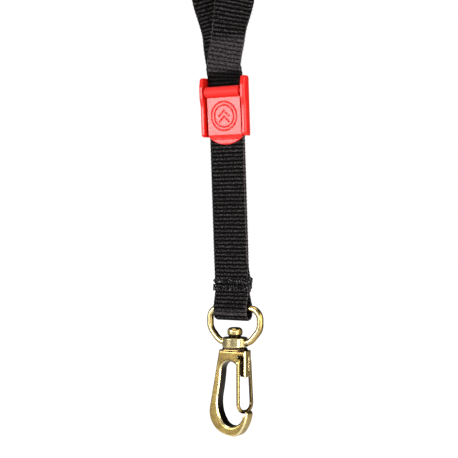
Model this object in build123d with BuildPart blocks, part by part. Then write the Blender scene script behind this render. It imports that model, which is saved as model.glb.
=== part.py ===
"""Webbing tether with a cam-lock strap adjuster and a swivel snap hook, in millimetres.

The tether hangs from the crown of its webbing loop, which is the origin. +X runs across the
webbing, -Y is the front, +Z is up. The webbing leans a few degrees forward above the ring, and
the ring and the hook hang plumb below it.
"""

import os
from math import cos, radians, sin

from build123d import *

os.makedirs("parts", exist_ok=True)

# ---------------------------------------------------------------- driving dimensions
# Webbing
web_width = 16.0
web_thick = 1.1
layer_gap = 0.1
web_lean = 3.6            # forward lean of the webbing above the ring, degrees
crown_height = 154.45     # from the ring's bar to the inside of the loop's crown
crown_radius = 9.0        # centre line of the webbing over the crown
layer = (web_thick + layer_gap) / 2

# Ring and swivel
wire_radius = 1.4
ring_half_width = 11.9
ring_offset = 1.05        # the ring sits this far to the right of the webbing's centre
bar_to_swivel = 17.1
collar_radius = 5.3
collar_low = 0.85
collar_high = 5.0
shank_radius = 2.0
swivel_clearance = 0.06

# Hook
hook_thick = 6.0
edge_break = 0.75
gate_radius = 0.8
gate_pin_height = -4.2
gate_leg_depth = 3.95

# Adjuster, heights measured along the webbing from the ring's bar
adjuster_shift = 0.4      # it hangs this far to the right of the webbing's centre
frame_low = 71.2
frame_high = 95.6
rail_inner = 8.9
rail_outer = 10.7
rail_front = -4.15
rail_back = 2.25
pivot_depth = -3.4
pivot_height = 89.55
barrel_radius = 2.15
trunnion_radius = 0.75
trunnion_clearance = 0.06
trunnion_reach = 1.1      # into each rail
lever_half_width = 7.9

# How far a cutting or trimming solid runs past the piece it works on.
overshoot = 1.0

# ---------------------------------------------------------------- shared frames
lean = radians(web_lean)
bar_depth = crown_height * sin(lean)
bar_level = -crown_height * cos(lean)
swivel_level = bar_level - bar_to_swivel

# Local X across the webbing, local Y towards the back, local Z up along the webbing.
strap = Plane(
    origin=(0, bar_depth, bar_level),
    x_dir=(1, 0, 0),
    z_dir=(0, -sin(lean), cos(lean)),
)
# The same for the adjuster, about its own centre.
adjuster = Plane(
    origin=(adjuster_shift, bar_depth, bar_level),
    x_dir=strap.x_dir,
    z_dir=strap.z_dir,
)
# Local X to the right, local Y towards the back, local Z up the swivel's axis.
swivel = Plane(origin=(ring_offset, bar_depth, swivel_level), x_dir=(1, 0, 0), z_dir=(0, 0, 1))


def on_strap(plane):
    """Carry a plane into the leaning frame of the webbing."""
    return Plane(strap.location * plane.location)


def on_adjuster(plane):
    """Carry a plane into the frame of the adjuster."""
    return Plane(adjuster.location * plane.location)


def on_swivel(plane):
    """Carry a plane into the frame of the ring and hook."""
    return Plane(swivel.location * plane.location)


def finish(part, name):
    """Label a finished piece and write it as its own STEP file."""
    part.label = name
    export_step(part, f"parts/{name}.step")
    print(name, "solids", len(part.solids()), "volume", round(part.volume, 1))


# ---------------------------------------------------------------- webbing
# Side-view run of the double layers: the back layer's sewn end, up the back, and the front
# layer down round the ring's bar to its own sewn end.
tack_low = 7.6
tack_high = 12.3
splay_height = 96.1
fold_half = 2.55
fold_low = -4.65
fold_bend = 2.45
merge_height = 6.5        # the two layers part below this, round the ring's bar
merge_bend = 8.0
step_bend = 5.0
end_lap = 0.6             # the sewn ends reach this far past the bar tack
step_rise = 4.0           # the sewn end steps down to a single layer over this height
fold_side = 1.0           # the fold is at its widest from here down
lapped = layer + web_thick + layer_gap

# Stations of the two strands above the adjuster: height, across, depth, turn in degrees.
crown_base = 146.0
front_strand = [
    (splay_height, 0.0, -layer, 0),
    (103.0, 1.5, -2.0, 0),
    (109.0, 2.9, -2.6, 0),
    (116.0, 4.2, -2.6, 3),
    (123.0, 5.8, -2.2, 20),
    (131.5, 7.6, -1.2, 52),
    (139.5, 8.7, -0.3, 80),
    (crown_base, crown_radius, 0.0, 90),
]
back_strand = [
    (splay_height, 0.0, layer, 0),
    (101.5, -1.7, 1.0, 0),
    (108.0, -2.9, 1.3, 0),
    (115.0, -3.7, 1.6, 1),
    (122.5, -5.2, 1.8, 17),
    (131.0, -7.4, 1.2, 50),
    (139.5, -8.7, 0.3, 80),
    (crown_base, -crown_radius, 0.0, 90),
]


def strand_plane(station):
    """Cross-section plane of a strand at one of its stations."""
    height, across, depth, turn = station
    return on_strap(
        Plane(
            origin=(across, depth, height),
            x_dir=(cos(radians(turn)), sin(radians(turn)), 0),
            z_dir=(0, 0, 1),
        )
    )


back_run = [
    (lapped, tack_low - end_lap),
    (lapped, tack_high),
    (layer, tack_high + step_rise),
    (layer, splay_height),
]
front_run = [
    (-layer, splay_height),
    (-layer, merge_height),
    (-fold_half, fold_side),
    (-fold_half, fold_low),
    (fold_half, fold_low),
    (fold_half, fold_side),
    (layer, merge_height),
    (layer, tack_high + end_lap),
]
front_bends = [merge_bend, merge_bend, fold_bend, fold_bend, merge_bend, merge_bend]

with BuildPart() as webbing_strap:
    for points, bends in ((back_run, step_bend), (front_run, front_bends)):
        with BuildLine(on_strap(Plane.YZ)) as run:
            FilletPolyline(*points, radius=bends)
        with BuildSketch(Plane(origin=run.line @ 0, x_dir=(1, 0, 0), z_dir=run.line % 0)):
            Rectangle(web_width, web_thick)
        sweep(path=run.line)
    for stations in (front_strand, back_strand):
        for station in stations:
            with BuildSketch(strand_plane(station)):
                Rectangle(web_width, web_thick)
        loft()
    with BuildSketch(on_strap(Plane.XY.offset(crown_base))):
        with Locations((crown_radius, 0)):
            Rectangle(web_thick, web_width)
    revolve(
        axis=Axis(strap.from_local_coords((0, 0, crown_base)), strap.y_dir),
        revolution_arc=-180,
    )
finish(webbing_strap.part, "webbing_strap")

# The bar tack: two rows of thread, each with a strip on the front and one on the back.
tack_row_height = 1.5
tack_proud = 0.35
tack_margin = 1.0         # from a row's middle to the end of the sewn zone
tack_inset = 0.2          # from the webbing's edge to a row's end
tack_length = web_width - 2 * tack_inset
tack_front = -layer - web_thick / 2
tack_back = lapped + web_thick / 2
tack_rows = (("bar_tack_lower", tack_low + tack_margin), ("bar_tack_upper", tack_high - tack_margin))

for name, height in tack_rows:
    with BuildPart() as thread_row:
        for seat, proud in ((tack_front, -tack_proud), (tack_back, tack_proud)):
            with BuildSketch(on_strap(Plane.XZ.offset(-seat))):
                with Locations((0, height)):
                    SlotOverall(tack_length, tack_row_height)
            extrude(amount=-proud)
    finish(thread_row.part, name)

# ---------------------------------------------------------------- adjuster frame
crossbar_front = 1.3
crossbars = [(71.9, 74.9), (84.6, 89.8), (92.4, 95.1)]
crossbar_bite = 0.2       # the crossbars run this far into the rails
crossbar_half = rail_inner + crossbar_bite
crossbar_round = 0.35
hole_play = 0.2           # room past the end of each trunnion
flange_inner = 8.1        # the rails turn in behind the webbing
taper_front = -2.5        # behind this depth the rails' outer sides draw in
taper_half = 9.2
ear_front = -4.9
ear_half = 2.4
ear_blend = 6.0
nose_round = 1.3
outer_round = 0.85

with BuildPart() as buckle_frame:
    # Cross-section of each rail, run the whole height of the frame.
    for side in (1, -1):
        with BuildSketch(on_adjuster(Plane.XY.offset(frame_low))):
            with BuildLine():
                Polyline(
                    (side * rail_inner, ear_front - overshoot),
                    (side * rail_outer, ear_front - overshoot),
                    (side * rail_outer, taper_front),
                    (side * taper_half, rail_back),
                    (side * flange_inner, rail_back),
                    (side * flange_inner, crossbar_front),
                    (side * rail_inner, crossbar_front),
                    close=True,
                )
            make_face()
        extrude(amount=frame_high - frame_low)
    # Side profile: the rails swell into ears round the trunnions.
    with BuildSketch(on_adjuster(Plane.YZ.offset(-rail_outer - overshoot))):
        with BuildLine():
            Polyline(
                (rail_back, frame_low),
                (rail_back, frame_high),
                (rail_front, frame_high),
                (ear_front, pivot_height + ear_half),
                (ear_front, pivot_height - ear_half),
                (rail_front, pivot_height - ear_blend),
                (rail_front, frame_low),
                close=True,
            )
        make_face()
        fillet(vertices(), radius=nose_round)
    extrude(amount=2 * (rail_outer + overshoot), mode=Mode.INTERSECT)
    for end in (0, -1):
        outer_face = buckle_frame.faces().filter_by(Axis.X).sort_by(Axis.X)[end]
        fillet(outer_face.edges(), radius=outer_round)
    for low, high in crossbars:
        with BuildSketch(on_adjuster(Plane.YZ.offset(-crossbar_half))):
            with Locations(((crossbar_front + rail_back) / 2, (low + high) / 2)):
                RectangleRounded(rail_back - crossbar_front, high - low, radius=crossbar_round)
        extrude(amount=2 * crossbar_half)
    for side in (1, -1):
        with BuildSketch(on_adjuster(Plane.YZ.offset(side * (rail_inner - overshoot)))):
            with Locations((pivot_depth, pivot_height)):
                Circle(trunnion_radius + trunnion_clearance)
        extrude(amount=side * (overshoot + trunnion_reach + hole_play), mode=Mode.SUBTRACT)
finish(buckle_frame.part, "buckle_frame")

# ---------------------------------------------------------------- cam lever
plate_back = -1.3
lever_low = 67.9
lip_height = 71.8
lip_corner = 71.0         # where the lip's arc meets the plate's sides
lever_profile = [
    (pivot_depth, pivot_height + barrel_radius),
    (plate_back, pivot_height - 0.4),
    (plate_back, lip_height - 0.8),
    (-1.35, lever_low),
    (-1.8, lever_low),
    (-2.0, lever_low + 0.4),
    (-2.1, lip_height - 1.9),
    (-1.9, lip_height - 1.4),
    (-2.65, lip_height),
    (-3.25, pivot_height - barrel_radius + 0.2),
]

with BuildPart() as cam_lever:
    # Side profile: the flat plate, its thumb lip, and the barrel at the top.
    with BuildSketch(on_adjuster(Plane.YZ.offset(-lever_half_width))):
        with BuildLine():
            Polyline(*lever_profile, close=True)
        make_face()
        with Locations((pivot_depth, pivot_height)):
            Circle(barrel_radius)
    extrude(amount=2 * lever_half_width)
    # Front view: straight sides and a lip that ends in a shallow arc.
    with BuildSketch(on_adjuster(Plane.XZ)):
        with BuildLine():
            Polyline(
                (lever_half_width, lip_corner),
                (lever_half_width, frame_high),
                (-lever_half_width, frame_high),
                (-lever_half_width, lip_corner),
            )
            ThreePointArc((-lever_half_width, lip_corner), (0, lever_low), (lever_half_width, lip_corner))
        make_face()
    extrude(amount=-2 * pivot_depth, mode=Mode.INTERSECT)
    # Trunnions, moulded with the barrel.
    with BuildSketch(on_adjuster(Plane.YZ)):
        with Locations((pivot_depth, pivot_height)):
            Circle(trunnion_radius)
    extrude(amount=rail_inner + trunnion_reach, both=True)
finish(cam_lever.part, "cam_lever")

# ---------------------------------------------------------------- swivel ring and its collar
ring_corner = 4.5         # between the ring's sides and its bar
ring_bend = 5.5           # where the sides turn in to the collar
root_bend = 3.0
rim_round = 0.5
ring_path = [
    (-3.6, 2.6),
    (-7.2, 3.1),
    (-ring_half_width, 8.6),
    (-ring_half_width, bar_to_swivel),
    (ring_half_width, bar_to_swivel),
    (ring_half_width, 8.6),
    (7.2, 3.1),
    (3.6, 2.6),
]

ring_bends = [root_bend, ring_bend, ring_corner, ring_corner, ring_bend, root_bend]

with BuildPart() as swivel_ring:
    with BuildLine(on_swivel(Plane.XZ)) as eye:
        FilletPolyline(*ring_path, radius=ring_bends)
    with BuildSketch(Plane(origin=eye.line @ 0, z_dir=eye.line % 0)):
        Circle(wire_radius)
    sweep(path=eye.line)
    with BuildSketch(on_swivel(Plane.XY.offset(collar_low))):
        Circle(collar_radius)
    extrude(amount=collar_high - collar_low)
    with BuildSketch(on_swivel(Plane.XY.offset(collar_low - overshoot))):
        Circle(shank_radius + swivel_clearance)
    extrude(amount=collar_high - collar_low + 2 * overshoot, mode=Mode.SUBTRACT)
    rims = swivel_ring.edges().filter_by(GeomType.CIRCLE).filter_by(
        lambda edge: abs(edge.radius - collar_radius) < 0.01
    )
    fillet(rims, radius=rim_round)
finish(swivel_ring.part, "swivel_ring")

# ---------------------------------------------------------------- rivet that holds the collar
shank_low = -3.4
neck_radius = 2.6
neck_low = collar_high + 0.15
head_radius = 3.17
head_low = 6.2
head_side = 7.7
head_top = 9.2
crown_flat = 1.3

with BuildPart() as swivel_rivet:
    with BuildSketch(on_swivel(Plane.XZ)):
        with BuildLine():
            Polyline(
                (0, shank_low),
                (shank_radius, shank_low),
                (shank_radius, neck_low),
                (neck_radius, neck_low),
                (neck_radius, head_low - 0.4),
                (head_radius, head_low),
                (head_radius, head_side),
            )
            ThreePointArc((head_radius, head_side), (neck_radius, head_top - 0.45), (crown_flat, head_top))
            Polyline((crown_flat, head_top), (0, head_top), (0, shank_low))
        make_face()
    revolve(axis=Axis(swivel.origin, swivel.z_dir))
finish(swivel_rivet.part, "swivel_rivet")

# ---------------------------------------------------------------- hook body
block_half = 6.35
block_low = -11.2
block_top = -0.2
web_half = 1.6            # half thickness of the block between its two gate pockets
pin_shift = 0.5
pin_play = 0.28
pin_hole_depth = 1.3
gate_axis_x = 4.15
pocket_width = 2.7
pocket_depth = 3.0
pocket_top = -2.4
pocket_shift = 0.05       # the pockets' middle lies this far outside the gate's axis
land_width = 10.4
land_depth = 5.2
land_corner = 1.5
land_gap = 0.15           # between the land and the collar
land_root = 0.4           # how deep the land is rooted in the block
slot_height = -5.6
slot_length = 6.6
slot_width = 0.9
slot_depth = 0.7
arm_end = (-10.95, -24.6)
arch_run = 3.2            # straight side below the arch, down to the block's underside
arch_end = (2.6, -8.0)
nose_seat = [(3.5, -24.0), (6.1, -24.0), (6.1, -27.0), (3.5, -27.9)]
# Ends of the tangent arcs that follow the arm: round the bow and up the outside of the nose,
# over its tip, then along the inside of the bow and the arm and over the arch.
hook_outline = [
    (-5.0, -35.1),
    (0.0, -36.1),
    (4.0, -34.3),
    (7.25, -26.6),
    (4.75, -26.6),
    (3.2, -30.4),
    (0.0, -31.9),
    (-4.4, -30.2),
    (-6.75, -24.5),
    (-6.6, -19.0),
    (-5.2, -8.7),
    arch_end,
]

with BuildPart() as hook_body:
    with BuildSketch(on_swivel(Plane.XZ.offset(-hook_thick / 2))):
        with BuildLine():
            # Down the arm, round the bow and nose, and back up the inside to the arch.
            edge = Line((-block_half, block_top), arm_end)
            for point in hook_outline:
                edge = TangentArc(edge @ 1, point, tangent=edge % 1)
            side = Line(edge @ 1, edge @ 1 + arch_run * (edge % 1))
            Polyline(
                side @ 1,
                (block_half, block_low),
                (block_half, block_top),
                (-block_half, block_top),
            )
        make_face()
    extrude(amount=hook_thick)
    broad_faces = hook_body.faces().filter_by(Axis.Y)
    chamfer(broad_faces.edges(), length=edge_break)
    # Pockets that the gate's legs lie in, front and back, open at the bottom.
    for side in (1, -1):
        with BuildSketch(on_swivel(Plane.XY.offset(block_low - overshoot))):
            with Locations((gate_axis_x + pocket_shift, side * (web_half + pocket_depth / 2))):
                Rectangle(pocket_width, pocket_depth)
        extrude(amount=overshoot + (pocket_top - block_low), mode=Mode.SUBTRACT)
        # Blind hole for the gate's bent end.
        with BuildSketch(on_swivel(Plane.XZ.offset(-side * web_half))):
            with Locations((gate_axis_x + side * pin_shift, gate_pin_height)):
                Circle(gate_radius + pin_play)
        extrude(amount=side * pin_hole_depth, mode=Mode.SUBTRACT)
    # Seat for the gate's loop, cut into the inner side of the nose.
    with BuildSketch(on_swivel(Plane.XZ.offset(-hook_thick))):
        with BuildLine():
            Polyline(*nose_seat, close=True)
        make_face()
    extrude(amount=2 * hook_thick, mode=Mode.SUBTRACT)
    # Land that carries the collar, the rivet's bore, and the slot in the block's outer side.
    with BuildSketch(on_swivel(Plane.XY.offset(block_top - land_root))):
        RectangleRounded(land_width, land_depth, radius=land_corner)
    extrude(amount=collar_low - land_gap - (block_top - land_root))
    with BuildSketch(on_swivel(Plane.XY.offset(shank_low))):
        Circle(shank_radius)
    extrude(amount=collar_low - shank_low, mode=Mode.SUBTRACT)
    with BuildSketch(on_swivel(Plane.YZ.offset(block_half - slot_depth))):
        with Locations((0, slot_height)):
            SlotOverall(slot_length, slot_width, rotation=90)
    extrude(amount=slot_depth + overshoot, mode=Mode.SUBTRACT)
finish(hook_body.part, "hook_body")

# ---------------------------------------------------------------- wire gate
loop_low = -25.6
leg_bend = 3.6
pin_bend = 1.1
pin_end = 0.7             # how near the bent ends come to the block's middle
front_splay = 0.1         # how far each leg leans outwards on its way down
back_splay = 1.15
front_x = gate_axis_x - pin_shift
back_x = gate_axis_x + pin_shift
gate_route = [
    (front_x, -pin_end, gate_pin_height),
    (front_x, -gate_leg_depth, gate_pin_height),
    (front_x + front_splay, -gate_leg_depth, loop_low),
    (back_x + back_splay, gate_leg_depth, loop_low),
    (back_x, gate_leg_depth, gate_pin_height),
    (back_x, pin_end, gate_pin_height),
]

with BuildPart() as wire_gate:
    with BuildLine(swivel) as route:
        FilletPolyline(*gate_route, radius=[pin_bend, leg_bend, leg_bend, pin_bend])
    with BuildSketch(Plane(origin=route.line @ 0, z_dir=route.line % 0)):
        Circle(gate_radius)
    sweep(path=route.line)
finish(wire_gate.part, "wire_gate")
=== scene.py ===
"""Looks of a webbing tether with a cam-lock adjuster and a swivel snap hook.

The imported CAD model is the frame: every piece is built in its coordinates, in metres, and rides
on one of its bodies. Named lengths are in millimetres, and are multiplied by MM where Blender
needs metres; the camera's, the lights' and the floor's are in metres.
"""

from math import cos, hypot, pi, radians, sin, tan

import bmesh
import bpy
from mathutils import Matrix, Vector


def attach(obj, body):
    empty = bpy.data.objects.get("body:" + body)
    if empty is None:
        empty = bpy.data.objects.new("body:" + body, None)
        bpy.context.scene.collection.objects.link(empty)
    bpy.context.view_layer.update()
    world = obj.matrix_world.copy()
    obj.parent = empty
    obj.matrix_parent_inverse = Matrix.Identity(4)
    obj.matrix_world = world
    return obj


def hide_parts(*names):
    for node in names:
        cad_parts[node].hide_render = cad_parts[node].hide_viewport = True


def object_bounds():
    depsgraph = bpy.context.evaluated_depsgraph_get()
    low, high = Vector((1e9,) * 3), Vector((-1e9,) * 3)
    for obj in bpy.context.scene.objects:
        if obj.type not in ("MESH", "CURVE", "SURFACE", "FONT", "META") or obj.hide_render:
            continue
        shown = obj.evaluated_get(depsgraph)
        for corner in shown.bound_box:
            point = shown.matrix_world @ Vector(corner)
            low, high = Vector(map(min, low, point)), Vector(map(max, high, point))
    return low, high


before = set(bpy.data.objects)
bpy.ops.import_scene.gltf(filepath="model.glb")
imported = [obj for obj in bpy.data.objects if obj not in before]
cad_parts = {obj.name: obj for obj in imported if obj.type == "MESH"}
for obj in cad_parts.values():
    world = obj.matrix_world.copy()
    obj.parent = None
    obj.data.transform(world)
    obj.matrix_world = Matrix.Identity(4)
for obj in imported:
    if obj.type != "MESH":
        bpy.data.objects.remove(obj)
cad_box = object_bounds()

MM = 0.001

# ------------------------------------------------------------------ the CAD model's own frames
LEAN = radians(3.6)
CROWN_HEIGHT = 154.45
BAR = Vector((0, CROWN_HEIGHT * sin(LEAN), -CROWN_HEIGHT * cos(LEAN)))
STRAP_BACK = Vector((0, cos(LEAN), sin(LEAN)))
STRAP_UP = Vector((0, -sin(LEAN), cos(LEAN)))
SWIVEL = BAR + Vector((1.05, 0, -17.1))
ADJUSTER_SHIFT = 0.4


def on_strap(across, depth, height):
    """A point given across, behind and up along the webbing, in millimetres, as metres."""
    return (BAR + Vector((across, 0, 0)) + STRAP_BACK * depth + STRAP_UP * height) * MM


def strap_coordinates(point):
    """The inverse of on_strap."""
    away = point / MM - BAR
    return away.x, away.dot(STRAP_BACK), away.dot(STRAP_UP)


def swivel_coordinates(point):
    """A point's place about the swivel, in millimetres: right, back and up."""
    return point / MM - SWIVEL


# ------------------------------------------------------------------ mesh helpers
def new_object(name, mesh):
    """A new object for a mesh, in the scene, shaded smooth."""
    obj = bpy.data.objects.new(name, mesh)
    bpy.context.scene.collection.objects.link(obj)
    mesh.polygons.foreach_set("use_smooth", [True] * len(mesh.polygons))
    return obj


def applied(obj):
    """Replace an object's mesh by the result of its modifiers."""
    graph = bpy.context.evaluated_depsgraph_get()
    mesh = bpy.data.meshes.new_from_object(obj.evaluated_get(graph))
    obj.modifiers.clear()
    obj.data = mesh
    mesh.polygons.foreach_set("use_smooth", [True] * len(mesh.polygons))
    return obj


def softened(obj, voxel_mm, rounding):
    """Remesh a solid finely and soften its edges, as a casting or moulding has them."""
    remesh = obj.modifiers.new("remesh", "REMESH")
    remesh.mode = "VOXEL"
    remesh.voxel_size = voxel_mm * MM
    smooth = obj.modifiers.new("soften", "SMOOTH")
    smooth.factor = 0.5
    smooth.iterations = rounding
    return applied(obj)


def moulded_copy(node, name, voxel_mm, rounding):
    """A CAD node's shape, softened."""
    obj = new_object(name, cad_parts[node].data.copy())
    obj.data.materials.clear()
    return softened(obj, voxel_mm, rounding)


def tube(bm, points, radius, sides):
    """Add a closed tube along a list of points to a bmesh, its frame carried along untwisted."""
    ahead = (points[1] - points[0]).normalized()
    side = ahead.orthogonal().normalized()
    rings = []
    for i, point in enumerate(points):
        turned = (points[min(i + 1, len(points) - 1)] - points[max(i - 1, 0)]).normalized()
        side = ahead.rotation_difference(turned) @ side
        ahead = turned
        up = ahead.cross(side)
        corners = [
            point + (side * cos(2 * pi * k / sides) + up * sin(2 * pi * k / sides)) * radius
            for k in range(sides)
        ]
        rings.append([bm.verts.new(corner) for corner in corners])
    skin(bm, rings)
    bm.faces.new(rings[0][::-1])
    bm.faces.new(rings[-1])


def skin(bm, rings):
    """Faces between successive rings of vertices."""
    for low, high in zip(rings, rings[1:]):
        for k in range(len(low)):
            nxt = (k + 1) % len(low)
            bm.faces.new((low[k], low[nxt], high[nxt], high[k]))


LATHE_STEP = 0.12


def lathe(bm, profile, segments):
    """Add a ring-shaped solid about the swivel's axis, from a closed (radius, height) profile."""
    closed = [Vector(corner) for corner in profile + profile[:1]]
    profile = []
    for a, b in zip(closed, closed[1:]):
        pieces = max(round((b - a).length / LATHE_STEP), 1)
        profile += [a.lerp(b, k / pieces) for k in range(pieces)]
    rings = []
    for k in range(segments):
        turn = 2 * pi * k / segments
        rings.append(
            [
                bm.verts.new((SWIVEL + Vector((radius * cos(turn), radius * sin(turn), height))) * MM)
                for radius, height in profile
            ]
        )
    skin(bm, rings + rings[:1])


def rounded_path(corners, radii, step):
    """Points along a run of straight lines whose corners are rounded to given radii."""
    points = [corners[0]]
    for i in range(1, len(corners) - 1):
        before = (corners[i - 1] - corners[i]).normalized()
        after = (corners[i + 1] - corners[i]).normalized()
        half = before.angle(after) / 2
        reach = radii[i - 1] / tan(half)
        centre = corners[i] + (before + after).normalized() * (radii[i - 1] / sin(half))
        start = corners[i] + before * reach - centre
        end = corners[i] + after * reach - centre
        pieces = max(int(start.angle(end) * radii[i - 1] / step), 4)
        for k in range(pieces + 1):
            points.append(centre + start.slerp(end, k / pieces).normalized() * radii[i - 1])
    points.append(corners[-1])
    dense = [points[0]]
    for a, b in zip(points, points[1:]):
        pieces = max(round((b - a).length / step), 1)
        dense += [a.lerp(b, (k + 1) / pieces) for k in range(pieces)]
    return dense


def mesh_object(name, bm):
    """An object made from a bmesh, its faces turned outwards."""
    bmesh.ops.recalc_face_normals(bm, faces=bm.faces)
    mesh = bpy.data.meshes.new(name)
    bm.to_mesh(mesh)
    bm.free()
    return new_object(name, mesh)


# ------------------------------------------------------------------ the webbing's weave
TAPE_WIDTH = 16.0
TAPE_HALF_THICK = 0.55
RIB_PITCH = 1.65
RIB_DEPTH = 0.17
COLUMN_PITCH = 0.8
SAMPLES_PER_RIB = 6
CELLS_ACROSS = 40
EDGE_INSET = 0.28         # the webbing's edge draws in this much between ribs
EDGE_SWELL = 0.2          # and comes back out this much on a rib
EDGE_ROUND = 0.12
EDGE_THICKNESS = 0.3      # of the webbing's half thickness
COLUMN_RISE = 0.03
RIB_SHAPE = 0.8           # below 1, ribs are broad and the grooves between them narrow
EDGE_THINNING = 0.45      # of the rise, lost at the very edge
EDGE_THINNING_POWER = 24  # the higher, the nearer the edge it starts


# ------------------------------------------------------------------ material helpers
def new_material(name):
    """A node material with its Principled shader, and a function that adds nodes to it."""
    material = bpy.data.materials.new(name)
    material.use_nodes = True
    tree = material.node_tree
    shader = tree.nodes["Principled BSDF"]

    def node(kind, inputs=None, **settings):
        made = tree.nodes.new(kind)
        for key, value in settings.items():
            setattr(made, key, value)
        for key, value in (inputs or {}).items():
            if isinstance(value, bpy.types.NodeSocket):
                tree.links.new(value, made.inputs[key])
            else:
                made.inputs[key].default_value = value
        return made

    return material, shader, node, tree.links.new


def ramp(node, factor, stops, color=True):
    """A colour ramp over a factor, from (position, value) stops."""
    made = node("ShaderNodeValToRGB", {"Fac": factor})
    elements = made.color_ramp.elements
    while len(elements) < len(stops):
        elements.new(0.5)
    for element, (position, value) in zip(elements, stops):
        element.position = position
        element.color = (*value, 1) if color else (value, value, value, 1)
    return made.outputs["Color"]


# ------------------------------------------------------------------ materials
def antique_brass(name, tones, roughness, stained, grain):
    """Antiqued brass: the "dark" attribute lays patina and painted shade, the second attribute worn edges
    and painted sheen.
    """
    material, shader, node, link = new_material(name)
    shader.inputs["Metallic"].default_value = 1.0
    place = node("ShaderNodeTexCoord").outputs["Object"]
    mottle = node("ShaderNodeTexNoise", {"Vector": place, "Scale": 900.0, "Detail": 5.0, "Roughness": 0.7})
    clouds = node("ShaderNodeTexNoise", {"Vector": place, "Scale": 160.0, "Detail": 3.0})
    flats = ramp(node, mottle.outputs["Fac"], list(zip((0.34, 0.50, 0.66), tones)))
    stains = ramp(node, clouds.outputs["Fac"], [(0.46, 0.0), (0.68, stained)], color=False)
    wear_and_highlight = node("ShaderNodeAttribute", attribute_name="wear_and_highlight").outputs["Fac"]
    dark = node("ShaderNodeAttribute", attribute_name="dark").outputs["Fac"]

    color = flats
    for factor, tone in (
        (stains, (0.17, 0.11, 0.04)),
        # Worn edges and painted sheen, as bright gold.
        (wear_and_highlight, (0.95, 0.82, 0.46)),
        # Patina and painted shade, near black.
        (dark, (0.030, 0.019, 0.010)),
    ):
        mix = node("ShaderNodeMix", data_type="RGBA")
        # The colour inputs of a Mix node are its seventh and eighth, and its output the third.
        link(factor, mix.inputs[0])
        link(color, mix.inputs[6])
        mix.inputs[7].default_value = (*tone, 1)
        color = mix.outputs[2]
    link(color, shader.inputs["Base Color"])
    shader.inputs["Roughness"].default_value = roughness
    bump = node("ShaderNodeBump", {"Height": mottle.outputs["Fac"], "Strength": grain, "Distance": 0.0001})
    link(bump.outputs["Normal"], shader.inputs["Normal"])
    return material


def red_plastic(name):
    """Glossy moulded plastic with a faint orange-peel and scuffed, slightly duller patches."""
    material, shader, node, link = new_material(name)
    place = node("ShaderNodeTexCoord").outputs["Object"]
    peel = node("ShaderNodeTexNoise", {"Vector": place, "Scale": 1500.0, "Detail": 2.0})
    scuffs = node("ShaderNodeTexNoise", {"Vector": place, "Scale": 260.0, "Detail": 5.0, "Roughness": 0.7})
    color = ramp(
        node,
        scuffs.outputs["Fac"],
        [(0.3, (0.68, 0.009, 0.005)), (0.7, (0.75, 0.013, 0.007))],
    )
    link(color, shader.inputs["Base Color"])
    polished = ramp(node, scuffs.outputs["Fac"], [(0.3, 0.27), (0.7, 0.31)], color=False)
    matt = node("ShaderNodeAttribute", attribute_name="matt").outputs["Fac"]
    rough = node("ShaderNodeMath", {0: matt, 1: 0.3, 2: polished}, operation="MULTIPLY_ADD")
    link(rough.outputs[0], shader.inputs["Roughness"])
    shader.inputs["Subsurface Weight"].default_value = 0.12
    shader.inputs["Subsurface Radius"].default_value = (0.0012, 0.0004, 0.0003)
    shader.inputs["Specular IOR Level"].default_value = 0.38
    bump = node("ShaderNodeBump", {"Height": peel.outputs["Fac"], "Strength": 0.06, "Distance": 0.0001})
    link(bump.outputs["Normal"], shader.inputs["Normal"])
    return material


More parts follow.
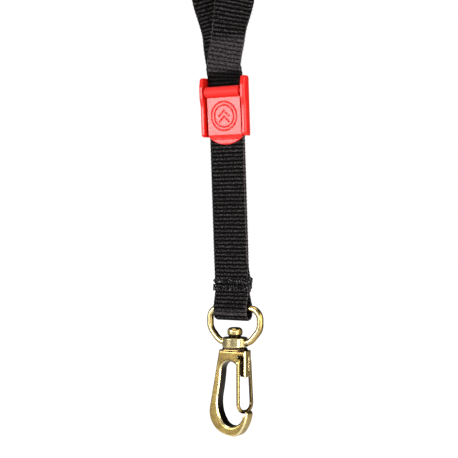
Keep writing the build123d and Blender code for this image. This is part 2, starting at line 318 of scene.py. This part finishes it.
def webbing_fabric(name):
    """Black woven nylon with painted highlights on its rib tops, painted shade in the grooves between them
    and painted glints on the ribs. UVs are millimetres of tape.
    """
    material, shader, node, link = new_material(name)
    place = node("ShaderNodeTexCoord").outputs["UV"]
    along = node("ShaderNodeSeparateXYZ", {"Vector": place}).outputs["Y"]
    phase = node("ShaderNodeMath", {0: along, 1: pi / RIB_PITCH}, operation="MULTIPLY").outputs[0]
    wave = node("ShaderNodeMath", {0: phase}, operation="COSINE").outputs[0]
    crest = node("ShaderNodeMath", {0: wave}, operation="ABSOLUTE").outputs[0]
    yarns = node("ShaderNodeTexNoise", {"Vector": place, "Scale": 2.3, "Detail": 1.0, "Roughness": 0.6})
    fuzz = node("ShaderNodeTexNoise", {"Vector": place, "Scale": 6.0, "Detail": 4.0, "Roughness": 0.75})
    # Painted shade: the grooves between the ribs darker, the rib tops lighter.
    body = ramp(node, crest, [(0.35, (0.0006, 0.0005, 0.0005)), (0.95, (0.0040, 0.0036, 0.0035))])
    # Painted glints: light flecks on the rib tops.
    on_crest = ramp(node, crest, [(0.55, 0.0), (0.9, 1.0)], color=False)
    yarn_glint = ramp(node, yarns.outputs["Fac"], [(0.52, 0.0), (0.66, 1.0)], color=False)
    rib_glint = node("ShaderNodeMath", {0: on_crest, 1: yarn_glint}, operation="MULTIPLY").outputs[0]
    # Painted glints along both edges of the webbing.
    across = node("ShaderNodeSeparateXYZ", {"Vector": place}).outputs["X"]
    off_centre = node("ShaderNodeMath", {0: across}, operation="ABSOLUTE").outputs[0]
    near_edge = node("ShaderNodeMapRange", {"Value": off_centre, "From Min": 7.55, "From Max": 7.8})
    edge_glint_noise = ramp(node, yarns.outputs["Fac"], [(0.46, 0.0), (0.62, 1.0)], color=False)
    selvage = node("ShaderNodeMath", {0: near_edge.outputs[0], 1: edge_glint_noise}, operation="MULTIPLY").outputs[0]
    color = body
    # Painted highlight on the front strand above the cam and on the front of the fold, broken into patches
    # over the rib tops.
    painted_lit_patch = node("ShaderNodeAttribute", attribute_name="painted_lit_patch").outputs["Fac"]
    tufts = node("ShaderNodeTexNoise", {"Vector": place, "Scale": 1.15, "Detail": 2.0, "Roughness": 0.7})
    tuft = ramp(node, tufts.outputs["Fac"], [(0.42, 0.12), (0.60, 1.0)], color=False)
    rib_top = ramp(node, crest, [(0.25, 0.25), (0.75, 1.0)], color=False)
    tuft_top = node("ShaderNodeMath", {0: tuft, 1: rib_top}, operation="MULTIPLY").outputs[0]
    lit_patch_factor = node("ShaderNodeMath", {0: painted_lit_patch, 1: tuft_top}, operation="MULTIPLY").outputs[0]
    # Painted highlight line along the front strand's left edge.
    painted_edge_line = node("ShaderNodeAttribute", attribute_name="painted_edge_line").outputs["Fac"]
    edge_line_factor = node("ShaderNodeMath", {0: painted_edge_line, 1: tuft}, operation="MULTIPLY").outputs[0]
    # Painted shadow on the front strand just above the cam.
    shaded = node("ShaderNodeAttribute", attribute_name="shaded").outputs["Fac"]
    for factor, tone in (
        (rib_glint, (0.10, 0.09, 0.09)),
        (lit_patch_factor, (0.066, 0.057, 0.061)),
        (selvage, (0.14, 0.12, 0.115)),
        (edge_line_factor, (0.70, 0.68, 0.68)),
        (shaded, (0.0003, 0.0003, 0.0003)),
    ):
        mix = node("ShaderNodeMix", data_type="RGBA")
        link(factor, mix.inputs[0])
        link(color, mix.inputs[6])
        mix.inputs[7].default_value = (*tone, 1)
        color = mix.outputs[2]
    link(color, shader.inputs["Base Color"])
    shader.inputs["Roughness"].default_value = 0.75
    shader.inputs["Specular IOR Level"].default_value = 0.04
    height = node("ShaderNodeMath", {0: yarns.outputs["Fac"], 1: fuzz.outputs["Fac"]}, operation="ADD")
    bump = node("ShaderNodeBump", {"Height": height.outputs[0], "Strength": 0.6, "Distance": 0.00015})
    link(bump.outputs["Normal"], shader.inputs["Normal"])
    return material


def sewing_thread(name):
    """Black polyester thread with a little sheen and uneven tone."""
    material, shader, node, link = new_material(name)
    place = node("ShaderNodeTexCoord").outputs["Object"]
    tone = node("ShaderNodeTexNoise", {"Vector": place, "Scale": 1700.0, "Detail": 1.0})
    color = ramp(
        node,
        tone.outputs["Fac"],
        [(0.40, (0.001, 0.001, 0.001)), (0.58, (0.003, 0.003, 0.003)), (0.70, (0.26, 0.24, 0.24))],
    )
    link(color, shader.inputs["Base Color"])
    shader.inputs["Roughness"].default_value = 0.6
    shader.inputs["Specular IOR Level"].default_value = 0.12
    bump = node("ShaderNodeBump", {"Height": tone.outputs["Fac"], "Strength": 0.4, "Distance": 0.0001})
    link(bump.outputs["Normal"], shader.inputs["Normal"])
    return material


CAST_TONES = [(0.49, 0.335, 0.100), (0.58, 0.410, 0.130), (0.67, 0.490, 0.165)]
WIRE_TONES = [(0.40, 0.265, 0.070), (0.44, 0.295, 0.080), (0.48, 0.330, 0.095)]

cast_brass = antique_brass("antique_brass", CAST_TONES, roughness=0.27, stained=0.5, grain=0.015)
wire_brass = antique_brass("brass_wire", WIRE_TONES, roughness=0.25, stained=0.1, grain=0.003)
red = red_plastic("red_plastic")
webbing = webbing_fabric("webbing")
thread = sewing_thread("thread")


def finish_piece(obj, material, slot, body, *nodes):
    """Give a piece its material, let it stand for CAD nodes, and ride on a body; the slot is not used."""
    obj.data.materials.append(material)
    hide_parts(*nodes)
    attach(obj, body)


# ------------------------------------------------------------------ cast brass pieces
RING_WIRE = 1.4
COLLAR_RADIUS = 5.3
COLLAR_LOW = 0.85
COLLAR_HIGH = 5.0
BORE_RADIUS = 2.06
GATE_WIRE = 0.8
PIN_HEIGHT = -4.2         # of the gate's bent ends
LEG_DEPTH = 3.95          # of the gate's two legs, in front of and behind the block
LOOP_LOW = -25.6          # bottom of the gate's loop

# Where patina and painted shade lie, in millimetres about the swivel.
EYE_ACROSS = -1.2         # the hook's eye has its middle line here
EYE_SPAN = (-27.0, -10.5)  # and between these heights
EYE_REACH = 7.5
EYE_LOWEST = -33.0
POCKET_ACROSS = (2.7, 5.75)
POCKET_DEPTHS = (1.2, 2.75)
POCKET_LOW = -11.6
SLOT_ACROSS = 5.5
SLOT_HALF_WIDTH = 0.5
SLOT_SPAN = (-9.0, -2.2)
LAND_SPAN = (-0.45, -0.25)
BLOCK_FADE = (-9.5, -4.0)
BLOCK_FACES = (2.2, 2.9)
RING_MIDDLE = 9.5
RING_INSIDE_LOW = 2.5     # patina on the ring's inside starts above this
RING_RIM_LOW = 5.2        # and painted shade on its rim above this
COLLAR_UNDERSIDE = 1.6    # below this, faces that look down are under the collar and get painted shadow
COLLAR_SURROUND = (7.2, 5.6)


def smooth_step(value, low, high):
    """0 below low, 1 above high, and a smooth rise between; a fall instead if low is the greater."""
    t = min(max((value - low) / (high - low), 0.0), 1.0)
    return t * t * (3 - 2 * t)


def between(value, limits):
    """Whether a value lies strictly between two limits."""
    return limits[0] < value < limits[1]


def hook_dark(place, normal):
    """Patina in the hook's eye, its gate pockets and side slot and on its block, and painted shadow under
    its collar.
    """
    middle = Vector((EYE_ACROSS, 0, min(max(place.z, EYE_SPAN[0]), EYE_SPAN[1])))
    inward = Vector((middle.x - place.x, 0, middle.z - place.z))
    inside = 0.0
    if inward.length < EYE_REACH and place.z > EYE_LOWEST:
        inside = smooth_step(normal.dot(inward.normalized()), 0.78, 0.93)
    pocket = 0.0
    if between(place.x, POCKET_ACROSS) and place.z > POCKET_LOW and between(abs(place.y), POCKET_DEPTHS):
        pocket = 1.0
    if place.x > SLOT_ACROSS and abs(place.y) < SLOT_HALF_WIDTH and between(place.z, SLOT_SPAN):
        pocket = 0.85
    # Painted shadow on the top of the block, in the gap under the collar.
    land = smooth_step(place.z, *LAND_SPAN)
    block = 0.42 * smooth_step(place.z, *BLOCK_FADE) * smooth_step(abs(place.y), *BLOCK_FACES)
    return max(inside, pocket, land, block)


def ring_dark(place, normal):
    """Patina on the inside of the ring, painted shade on its outer rim, a little darkening on side faces
    round the collar and painted shadow under the collar.
    """
    inward = Vector((-place.x, 0, RING_MIDDLE - place.z))
    facing_in = normal.dot(inward.normalized())
    inside = smooth_step(facing_in, 0.50, 0.85) if place.z > RING_INSIDE_LOW else 0.0
    # Painted shade on the outer rim.
    rim = smooth_step(-facing_in, 0.74, 0.94) if place.z > RING_RIM_LOW else 0.0
    from_axis = hypot(place.x, place.y)
    near_collar = smooth_step(from_axis, *COLLAR_SURROUND) if place.z > COLLAR_UNDERSIDE else 0.0
    # Painted shadow on faces that look down, under the collar.
    under = smooth_step(-normal.z, 0.5, 0.9) if place.z < COLLAR_UNDERSIDE else 0.0
    return max(0.85 * inside, 0.75 * rim, 0.35 * near_collar * (1 - abs(normal.z)), under)


def rivet_dark(place, normal):
    """Patina under the rivet's head."""
    return smooth_step(6.5 - place.z, 0.0, 0.5)


def gate_dark(place, normal):
    """Painted shade on the back leg and the bottom of the gate's loop."""
    return max(0.85 * smooth_step(place.y, -1.0, 1.5), 0.8 * smooth_step(-24.2 - place.z, 0.0, 1.5))


def hook_worn_edges_and_highlight(place, normal):
    """Worn bright along the bevels between the hook's faces and its sides, with a painted highlight there.
    """
    bevel = smooth_step(abs(normal.y), 0.35, 0.6) * smooth_step(-abs(normal.y), -0.95, -0.82)
    return 0.9 * bevel


def ring_painted_sheen(place, normal):
    """Painted sheen along the front and back of the ring and round the collar's side."""
    if place.z < COLLAR_HIGH + 0.1 and hypot(place.x, place.y) < COLLAR_RADIUS + 0.1:
        return 0.65 * (1 - abs(normal.z))
    return 0.55 * smooth_step(abs(normal.y), 0.7, 0.96)


def rivet_painted_sheen(place, normal):
    """A faint painted sheen on the front and back of the rivet's head."""
    return 0.3 * smooth_step(abs(normal.y), 0.5, 0.9)


def gate_painted_sheen(place, normal):
    """Painted sheen along the gate's front."""
    return 0.35 * smooth_step(-normal.y, 0.6, 0.92)


def about_swivel(points):
    """Points given in millimetres about the swivel, as metres."""
    return [(SWIVEL + point) * MM for point in points]


def cast_ring():
    """The ring's wire and its collar, as one casting: two overlapping solids in one mesh."""
    corners = [(-2.6, 2.6), (-7.2, 3.1), (-11.9, 8.6), (-11.9, 17.1)]
    corners = [Vector((x, 0, z)) for x, z in corners]
    corners += [Vector((-point.x, 0, point.z)) for point in reversed(corners)]
    bm = bmesh.new()
    path = rounded_path(corners, [5.5, 5.5, 4.5, 4.5, 5.5, 5.5], 0.3)
    tube(bm, about_swivel(path), RING_WIRE * MM, 32)
    lathe(
        bm,
        [
            (BORE_RADIUS, COLLAR_LOW),
            (COLLAR_RADIUS - 0.45, COLLAR_LOW),
            (COLLAR_RADIUS - 0.15, COLLAR_LOW + 0.15),
            (COLLAR_RADIUS, COLLAR_LOW + 0.45),
            (COLLAR_RADIUS, COLLAR_HIGH - 0.45),
            (COLLAR_RADIUS - 0.15, COLLAR_HIGH - 0.15),
            (COLLAR_RADIUS - 0.45, COLLAR_HIGH),
            (BORE_RADIUS, COLLAR_HIGH),
        ],
        96,
    )
    return mesh_object("swivel_ring_cast", bm)


def cast_rivet():
    """The rivet with its domed head."""
    profile = [(0.02, -3.4), (2.0, -3.4), (2.0, 5.15), (2.6, 5.15), (2.6, 5.7), (2.95, 5.85)]
    profile += [(3.1, 6.1), (3.17, 6.6), (3.17, 7.5), (3.1, 8.0), (2.9, 8.45), (2.55, 8.8), (2.0, 9.05)]
    profile += [(1.3, 9.18), (0.6, 9.2), (0.02, 9.2)]
    bm = bmesh.new()
    lathe(bm, profile, 72)
    return mesh_object("swivel_rivet_cast", bm)


def bent_gate():
    """The gate's wire."""
    corners = [
        (3.65, -0.7, PIN_HEIGHT),
        (3.65, -LEG_DEPTH, PIN_HEIGHT),
        (3.75, -LEG_DEPTH, LOOP_LOW),
        (5.8, LEG_DEPTH, LOOP_LOW),
        (4.65, LEG_DEPTH, PIN_HEIGHT),
        (4.65, 0.7, PIN_HEIGHT),
    ]
    bm = bmesh.new()
    path = rounded_path([Vector(corner) for corner in corners], [1.1, 3.6, 3.6, 1.1], 0.25)
    tube(bm, about_swivel(path), GATE_WIRE * MM, 20)
    return mesh_object("wire_gate_bent", bm)


def mark(mesh, name, amount):
    """Store a 0-1 amount on every vertex, from its place about the swivel and its normal."""
    values = mesh.attributes.new(name, "FLOAT", "POINT").data
    for vertex in mesh.vertices:
        values[vertex.index].value = amount(swivel_coordinates(vertex.co), vertex.normal)


hook_piece = moulded_copy("hook_body", "hook_body_cast", voxel_mm=0.14, rounding=20)
for node, piece, body, material, darkness, wear_and_sheen in (
    ("hook_body", hook_piece, "hook", cast_brass, hook_dark, hook_worn_edges_and_highlight),
    ("swivel_ring", cast_ring(), "ring", wire_brass, ring_dark, ring_painted_sheen),
    ("swivel_rivet", cast_rivet(), "hook", wire_brass, rivet_dark, rivet_painted_sheen),
    ("wire_gate", bent_gate(), "gate", wire_brass, gate_dark, gate_painted_sheen),
):
    mark(piece.data, "dark", darkness)
    mark(piece.data, "wear_and_highlight", wear_and_sheen)
    slot = "brass_wire" if node == "wire_gate" else "antique_brass"
    finish_piece(piece, material, slot, body, node)

# ------------------------------------------------------------------ red adjuster
frame_piece = moulded_copy("buckle_frame", "buckle_frame_moulding", voxel_mm=0.15, rounding=5)
finish_piece(frame_piece, red, "red_plastic", "adjuster", "buckle_frame")

BADGE_HEIGHT = 79.6
BADGE_DEPTH = 0.32
BADGE_LINE = 0.30
BADGE_RINGS = (5.9, 4.5)
BADGE_PLATE = (73.0, 86.5)
BARREL_LOWER_EDGE = (87.0, 87.6)
CHEVRONS = [
    [(-2.3, -2.4), (0.0, -0.1), (2.3, -2.4)],
    [(-2.3, 0.0), (0.0, 2.3), (2.3, 0.0)],
]


def segment_distance(px, py, start, end):
    """Distance of a point from a straight segment in the plane."""
    dx, dy = end[0] - start[0], end[1] - start[1]
    along = ((px - start[0]) * dx + (py - start[1]) * dy) / (dx * dx + dy * dy)
    along = min(max(along, 0.0), 1.0)
    return hypot(px - start[0] - along * dx, py - start[1] - along * dy)


def badge_distance(across, height):
    """Distance from the lines of the badge: two rings round a pair of chevrons."""
    radius = hypot(across, height)
    near = [abs(radius - ring) for ring in BADGE_RINGS]
    for points in CHEVRONS:
        near += [segment_distance(across, height, a, b) for a, b in zip(points, points[1:])]
    return min(near)


lever_piece = moulded_copy("cam_lever", "cam_lever_moulding", voxel_mm=0.125, rounding=5)
matt = lever_piece.data.attributes.new("matt", "FLOAT", "POINT").data
for vertex in lever_piece.data.vertices:
    across, depth, height = strap_coordinates(vertex.co)
    matt[vertex.index].value = smooth_step(height, *BARREL_LOWER_EDGE)
    if vertex.normal.dot(STRAP_BACK) < -0.8 and between(height, BADGE_PLATE):
        distance = badge_distance(across - ADJUSTER_SHIFT, height - BADGE_HEIGHT)
        carve = 1 - min(max((distance - BADGE_LINE / 2) / (BADGE_LINE / 2), 0.0), 1.0)
        vertex.co += STRAP_BACK * carve * BADGE_DEPTH * MM
finish_piece(lever_piece, red, "red_plastic", "lever", "cam_lever")

# ------------------------------------------------------------------ webbing
# Heights of painted light: a painted shadow over the cam, painted highlights on the front strand and at the
# fold, and a painted highlight line on the front strand's left edge.
CAM_SHADE = (91.0, 97.2)
PAINTED_LIT_STRAND = (100.0, 109.0)
PAINTED_LIT_FOLD = (-2.4, -1.2)
PAINTED_EDGE_LINE = (99.5, 118.0)
LAYER = 0.6
LAPPED = 1.8
CROWN_BASE = 146.0
CROWN_RADIUS = 9.0

# Centre lines of the two strands from the straight run to the crown's base: across, depth,
# height, turn in degrees.
FRONT_STRAND = [
    (0.0, -LAYER, 84.0, 0),
    (0.0, -LAYER, 91.5, 0),
    (0.0, -0.75, 94.5, 0),
    (0.2, -1.7, 96.6, 0),
    (0.6, -2.7, 98.8, 0),
    (1.5, -3.0, 103.0, 0),
    (2.9, -2.8, 109.0, 0),
    (4.2, -2.6, 116.0, 3),
    (5.8, -2.2, 123.0, 20),
    (7.6, -1.2, 131.5, 52),
    (8.7, -0.3, 139.5, 80),
    (CROWN_RADIUS, 0.0, CROWN_BASE, 90),
]
BACK_STRAND = [
    (0.0, LAYER, 84.0, 0),
    (0.0, LAYER, 91.0, 0),
    (-0.3, LAYER, 96.1, 0),
    (-1.7, 1.0, 101.5, 0),
    (-2.9, 1.3, 108.0, 0),
    (-3.7, 1.6, 115.0, 1),
    (-5.2, 1.8, 122.5, 17),
    (-7.4, 1.2, 131.0, 50),
    (-8.7, 0.3, 139.5, 80),
    (-CROWN_RADIUS, 0.0, CROWN_BASE, 90),
]
STRAIGHT = [65.0, 45.0, 25.0]
FOLD = [
    (-LAYER, 9.0), (-0.75, 6.5), (-1.5, 3.8), (-2.3, 1.2), (-2.55, -0.8), (-2.4, -2.6), (-1.6, -4.0),
    (0.0, -4.65),
    (1.6, -4.0), (2.4, -2.6), (2.55, -0.8), (2.3, 1.2), (1.5, 3.8), (0.75, 6.5), (LAYER, 9.0), (LAYER, 12.9),
]
SEWN_END = [(LAPPED, 6.8), (LAPPED, 10.5), (1.75, 12.6), (1.15, 14.8), (0.64, 17.2)]


def tape_stations():
    """Stations along the whole tape, from its sewn back end over the crown to its front end."""
    stations = [(0.0, depth, height, 0) for depth, height in SEWN_END]
    stations += [(0.0, LAYER, height, 0) for height in reversed(STRAIGHT)]
    stations += BACK_STRAND
    for step in range(1, 6):
        angle = pi - step * pi / 6
        stations.append(
            (CROWN_RADIUS * cos(angle), 0.0, CROWN_BASE + CROWN_RADIUS * sin(angle), 90)
        )
    stations += reversed(FRONT_STRAND)
    stations += [(0.0, -LAYER, height, 0) for height in STRAIGHT]
    stations += [(0.0, depth, height, 0) for depth, height in FOLD]
    return [Vector(station) for station in stations]


def smooth_run(stations, step):
    """Points at an even step along a smooth curve through four-valued stations."""
    fine = []
    for i in range(len(stations) - 1):
        p0 = stations[max(i - 1, 0)]
        p1 = stations[i]
        p2 = stations[i + 1]
        p3 = stations[min(i + 2, len(stations) - 1)]
        chord = (p2.xyz - p1.xyz).length
        before = max((p1.xyz - p0.xyz).length, 1e-6)
        after = max((p3.xyz - p2.xyz).length, 1e-6)
        slope1 = ((p1 - p0) / before + (p2 - p1) / chord) / 2 if i else (p2 - p1) / chord
        slope2 = ((p2 - p1) / chord + (p3 - p2) / after) / 2 if i < len(stations) - 2 else (p2 - p1) / chord
        pieces = max(int(chord / 0.1), 4)
        for k in range(pieces):
            t = k / pieces
            fine.append(
                p1 * (2 * t**3 - 3 * t**2 + 1)
                + slope1 * chord * (t**3 - 2 * t**2 + t)
                + p2 * (3 * t**2 - 2 * t**3)
                + slope2 * chord * (t**3 - t**2)
            )
    fine.append(stations[-1])
    total = sum((b.xyz - a.xyz).length for a, b in zip(fine, fine[1:]))
    count = round(total / step)
    even = total / count
    points = [fine[0]]
    travelled = 0.0
    for a, b in zip(fine, fine[1:]):
        length = (b.xyz - a.xyz).length
        while len(points) <= count and travelled + length >= len(points) * even - 1e-9:
            points.append(a.lerp(b, (len(points) * even - travelled) / length))
        travelled += length
    return points, total


def tape_section(along):
    """Cross-section of the ribbed tape at a length along it: (across, out of plane) corners."""
    rib = abs(cos(pi * along / RIB_PITCH)) ** RIB_SHAPE
    row = int(along / RIB_PITCH + 0.5)
    half = TAPE_WIDTH / 2
    edge = half - EDGE_INSET + EDGE_SWELL * rib
    face = []
    for cell in range(CELLS_ACROSS + 1):
        across = -1 + 2 * cell / CELLS_ACROSS
        column = cos(2 * pi * across * half / COLUMN_PITCH + pi * row)
        rise = TAPE_HALF_THICK - RIB_DEPTH * (1 - rib) + COLUMN_RISE * rib * column
        rise *= 1 - EDGE_THINNING * abs(across) ** EDGE_THINNING_POWER
        face.append((across * (edge - EDGE_ROUND), rise))
    side = TAPE_HALF_THICK * EDGE_THICKNESS
    corners = face + [(edge, side), (edge, -side)]
    corners += [(across, -rise) for across, rise in reversed(face)]
    corners += [(-edge, -side), (-edge, side)]
    return corners


def build_tape(name):
    """The whole webbing as one closed mesh, with UVs in millimetres of tape."""
    points, total = smooth_run(tape_stations(), RIB_PITCH / SAMPLES_PER_RIB)
    step = total / (len(points) - 1)
    bm = bmesh.new()
    uv_layer = bm.loops.layers.uv.new("tape")
    rings = []
    spans = []
    for i, point in enumerate(points):
        ahead = (points[min(i + 1, len(points) - 1)] - points[max(i - 1, 0)]).xyz.normalized()
        turn = radians(point.w)
        wide = Vector((cos(turn), sin(turn), 0))
        wide = (wide - ahead * wide.dot(ahead)).normalized()
        out = wide.cross(ahead)
        section = tape_section(i * step)
        spans.append([across for across, rise in section])
        rings.append(
            [bm.verts.new(on_strap(*(point.xyz + wide * across + out * rise))) for across, rise in section]
        )
    sides = len(rings[0])
    for i in range(len(rings) - 1):
        for k in range(sides):
            nxt = (k + 1) % sides
            face = bm.faces.new((rings[i][k], rings[i][nxt], rings[i + 1][nxt], rings[i + 1][k]))
            places = ((i, k), (i, nxt), (i + 1, nxt), (i + 1, k))
            for loop, (row, column) in zip(face.loops, places):
                loop[uv_layer].uv = (spans[row][column], row * step)
    bm.faces.new(rings[0][::-1])
    bm.faces.new(rings[-1])
    return mesh_object(name, bm), total


def plateau(value, low, high, edge):
    """1 between low and high, falling smoothly to 0 over an edge's width outside them."""
    return smooth_step(value, low - edge, low) * smooth_step(-value, -high - edge, -high)


tape, tape_length = build_tape("webbing_tape")
print("webbing length mm", round(tape_length, 1))
painted_lit_patch = tape.data.attributes.new("painted_lit_patch", "FLOAT", "POINT").data
painted_edge_line = tape.data.attributes.new("painted_edge_line", "FLOAT", "POINT").data
shaded = tape.data.attributes.new("shaded", "FLOAT", "POINT").data
section_size = len(tape_section(0.0))
for vertex in tape.data.vertices:
    across, depth, height = strap_coordinates(vertex.co)
    # The last two and the first two corners of each cross-section are the webbing's left edge.
    on_left_edge = (vertex.index + 2) % section_size < 4
    outside = smooth_step(-depth, 1.9, 2.6)
    # Painted highlight on the front strand above the cam and on the front of the fold.
    painted_lit_patch[vertex.index].value = outside * max(
        plateau(height, *PAINTED_LIT_STRAND, 4.0),
        plateau(height, *PAINTED_LIT_FOLD, 0.7),
    )
    # Painted highlight line along the left edge of the front strand.
    painted_edge_line[vertex.index].value = 0.9 * outside * plateau(height, *PAINTED_EDGE_LINE, 2.0) if on_left_edge else 0.0
    # Painted shadow on the front of the webbing over the cam.
    shaded[vertex.index].value = 0.6 * smooth_step(-depth, 0.9, 1.1) * plateau(height, *CAM_SHADE, 0.8)
finish_piece(tape, webbing, "webbing", "strap", "webbing_strap")

# ------------------------------------------------------------------ bar tack
STITCHES = 24
STITCH_ROWS = 3
STITCH_ROW_PITCH = 0.55
STITCH_LENGTH = 0.75
STITCH_SLANT = 0.75
STITCH_MARGIN = 0.2       # between the seam's ends and the webbing's edges
STITCH_STANDOFF = 0.02    # of a thread's middle, outside the webbing's face
THREAD_RADIUS = 0.19
WRAP_CLEARANCE = 0.15     # of the wraps, in front of and behind the stitches
WRAP_START = 0.45         # inside the webbing's edge
TACK_FRONT = -1.15
TACK_BACK = 2.35
# Where thread wraps over the webbing's edges, as (side, height) in millimetres.
LOWER_WRAPS = [(-1, 7.7), (-1, 8.3), (-1, 8.9), (-1, 9.4), (1, 8.9), (1, 9.5)]
UPPER_WRAPS = [(1, 10.1), (1, 10.6), (1, 11.2), (1, 11.8), (1, 12.3), (-1, 11.4)]


def add_stitches(bm, height, rows, seed):
    """Rows of short zigzag stitches across the webbing, on its front and its back.

    Sines of the stitch's number stand for the unevenness of sewing, and are the same each run.
    """
    for depth, out in ((TACK_FRONT, -1), (TACK_BACK, 1)):
        for row in range(rows):
            base = height + (row - (rows - 1) / 2) * STITCH_ROW_PITCH
            for i in range(STITCHES):
                left = -TAPE_WIDTH / 2 + STITCH_MARGIN + i * (TAPE_WIDTH - 2 * STITCH_MARGIN) / STITCHES
                wander = 0.24 * sin(12.9 * i + 3.1 * row + seed) + 0.12 * sin(4.7 * i + seed)
                tilt = (STITCH_SLANT if i % 2 else -STITCH_SLANT) + 0.3 * sin(7.3 * i + seed)
                lift = 0.20 + 0.14 * sin(5.1 * i + 2.0 * row + seed)
                points = []
                for k in range(6):
                    t = k / 5
                    points.append(
                        on_strap(
                            left + t * STITCH_LENGTH,
                            depth + out * (STITCH_STANDOFF + lift * sin(pi * t)),
                            base + wander + tilt * (t - 0.5),
                        )
                    )
                tube(bm, points, THREAD_RADIUS * MM, 6)


def add_wraps(bm, wraps):
    """Loops of thread that pass round the webbing's edges."""
    middle = (TACK_FRONT + TACK_BACK) / 2
    half = (TACK_BACK - TACK_FRONT) / 2 + WRAP_CLEARANCE
    for i, (side, height) in enumerate(wraps):
        reach = 0.75 + 0.3 * sin(5.3 * i + height)
        points = []
        for k in range(13):
            turn = -pi / 2 + pi * k / 12
            points.append(
                on_strap(
                    side * (TAPE_WIDTH / 2 - WRAP_START + (WRAP_START + reach) * cos(turn)),
                    middle + half * sin(turn),
                    height + 0.35 * sin(2.2 * turn + i),
                )
            )
        tube(bm, points, 1.5 * THREAD_RADIUS * MM, 8)


def tack_row(name, height, wraps):
    """One row of the bar tack: its stitches and the thread round the webbing's edges."""
    bm = bmesh.new()
    add_stitches(bm, height, STITCH_ROWS, height)
    add_wraps(bm, wraps)
    return mesh_object(name, bm)


for node, height, wraps in (
    ("bar_tack_lower", 8.6, LOWER_WRAPS),
    ("bar_tack_upper", 11.3, UPPER_WRAPS),
):
    stitches = tack_row(node + "_stitches", height, wraps)
    finish_piece(stitches, thread, "thread", "strap", node)

# ------------------------------------------------------------------ stage, light and camera
AZIMUTH = radians(30)
DISTANCE = 0.45
LOOK_LEFT = 0.0025
LOOK_UP = 0.050
FLOOR_DROP = 0.12
FLOOR_RADIUS = 6.0
right = Vector((cos(AZIMUTH), sin(AZIMUTH), 0))
towards = Vector((-sin(AZIMUTH), cos(AZIMUTH), 0))
look_at = SWIVEL * MM - right * LOOK_LEFT + Vector((0, 0, LOOK_UP))

camera_data = bpy.data.cameras.new("camera")
camera_data.lens = 85
camera_data.sensor_width = 36
camera_data.clip_start = 0.01
camera = bpy.data.objects.new("camera", camera_data)
camera.location = look_at - towards * DISTANCE
camera.rotation_euler = (pi / 2, 0, AZIMUTH)
bpy.context.scene.collection.objects.link(camera)
bpy.context.scene.camera = camera
bpy.context.scene.view_settings.view_transform = "Standard"


def softbox(name, azimuth, elevation, distance, size, power):
    """A rectangular area light that faces the middle of the picture."""
    data = bpy.data.lights.new(name, "AREA")
    data.shape = "RECTANGLE"
    data.size, data.size_y = size
    data.energy = power
    lamp = bpy.data.objects.new(name, data)
    away = Vector(
        (
            sin(radians(azimuth)) * cos(radians(elevation)),
            -cos(radians(azimuth)) * cos(radians(elevation)),
            sin(radians(elevation)),
        )
    )
    lamp.location = look_at + away * distance
    lamp.rotation_euler = away.to_track_quat("Z", "Y").to_euler()
    bpy.context.scene.collection.objects.link(lamp)


softbox("front", -30, 2.7, 0.45, (0.24, 0.10), 1.5)
softbox("near_camera", 26, 2, 0.5, (0.32, 0.12), 0.45)
softbox("edge", 61, -4, 0.5, (0.08, 0.36), 1.3)
softbox("side", 96, 12, 0.5, (0.30, 0.40), 2.0)
softbox("top", -10, 80, 0.5, (0.34, 0.34), 1.2)

world = bpy.data.worlds.new("studio")
world.use_nodes = True
world_tree = world.node_tree
seen = world_tree.nodes["Background"]
seen.inputs["Color"].default_value = (1, 1, 1, 1)
seen.inputs["Strength"].default_value = 1.0
lighting = world_tree.nodes.new("ShaderNodeBackground")
lighting.inputs["Color"].default_value = (1, 1, 1, 1)
# Bright in front and to the left, dim behind and to the right.
direction = world_tree.nodes.new("ShaderNodeTexCoord")
facing = world_tree.nodes.new("ShaderNodeVectorMath")
facing.operation = "DOT_PRODUCT"
facing.inputs[1].default_value = Vector((-0.5, -0.85, 0.15)).normalized()
level = world_tree.nodes.new("ShaderNodeMapRange")
level.inputs["From Min"].default_value = -0.3
level.inputs["To Min"].default_value = 0.05
level.inputs["To Max"].default_value = 0.45
world_tree.links.new(direction.outputs["Generated"], facing.inputs[0])
world_tree.links.new(facing.outputs["Value"], level.inputs["Value"])
world_tree.links.new(level.outputs["Result"], lighting.inputs["Strength"])
path = world_tree.nodes.new("ShaderNodeLightPath")
either = world_tree.nodes.new("ShaderNodeMixShader")
world_tree.links.new(path.outputs["Is Camera Ray"], either.inputs["Fac"])
world_tree.links.new(lighting.outputs[0], either.inputs[1])
world_tree.links.new(seen.outputs[0], either.inputs[2])
world_tree.links.new(either.outputs[0], world_tree.nodes["World Output"].inputs["Surface"])
bpy.context.scene.world = world

floor_mesh = bpy.data.meshes.new("floor")
floor_bm = bmesh.new()
bmesh.ops.create_circle(floor_bm, cap_ends=True, segments=96, radius=FLOOR_RADIUS)
floor_bm.to_mesh(floor_mesh)
floor_bm.free()
floor = bpy.data.objects.new("floor", floor_mesh)
floor.location = (0, 0, cad_box[0][2] - FLOOR_DROP)
bpy.context.scene.collection.objects.link(floor)
floor_material, floor_shader, floor_node, floor_link = new_material("pale_floor")
floor_shader.inputs["Base Color"].default_value = (0.6, 0.6, 0.6, 1)
floor_shader.inputs["Roughness"].default_value = 0.9
floor_shader.inputs["Emission Color"].default_value = (1, 1, 1, 1)
seen_directly = floor_node("ShaderNodeLightPath").outputs["Is Camera Ray"]
glow = floor_node("ShaderNodeMapRange", {"Value": seen_directly, "To Min": 0.2, "To Max": 1.0})
floor_link(glow.outputs["Result"], floor_shader.inputs["Emission Strength"])
floor_mesh.materials.append(floor_material)
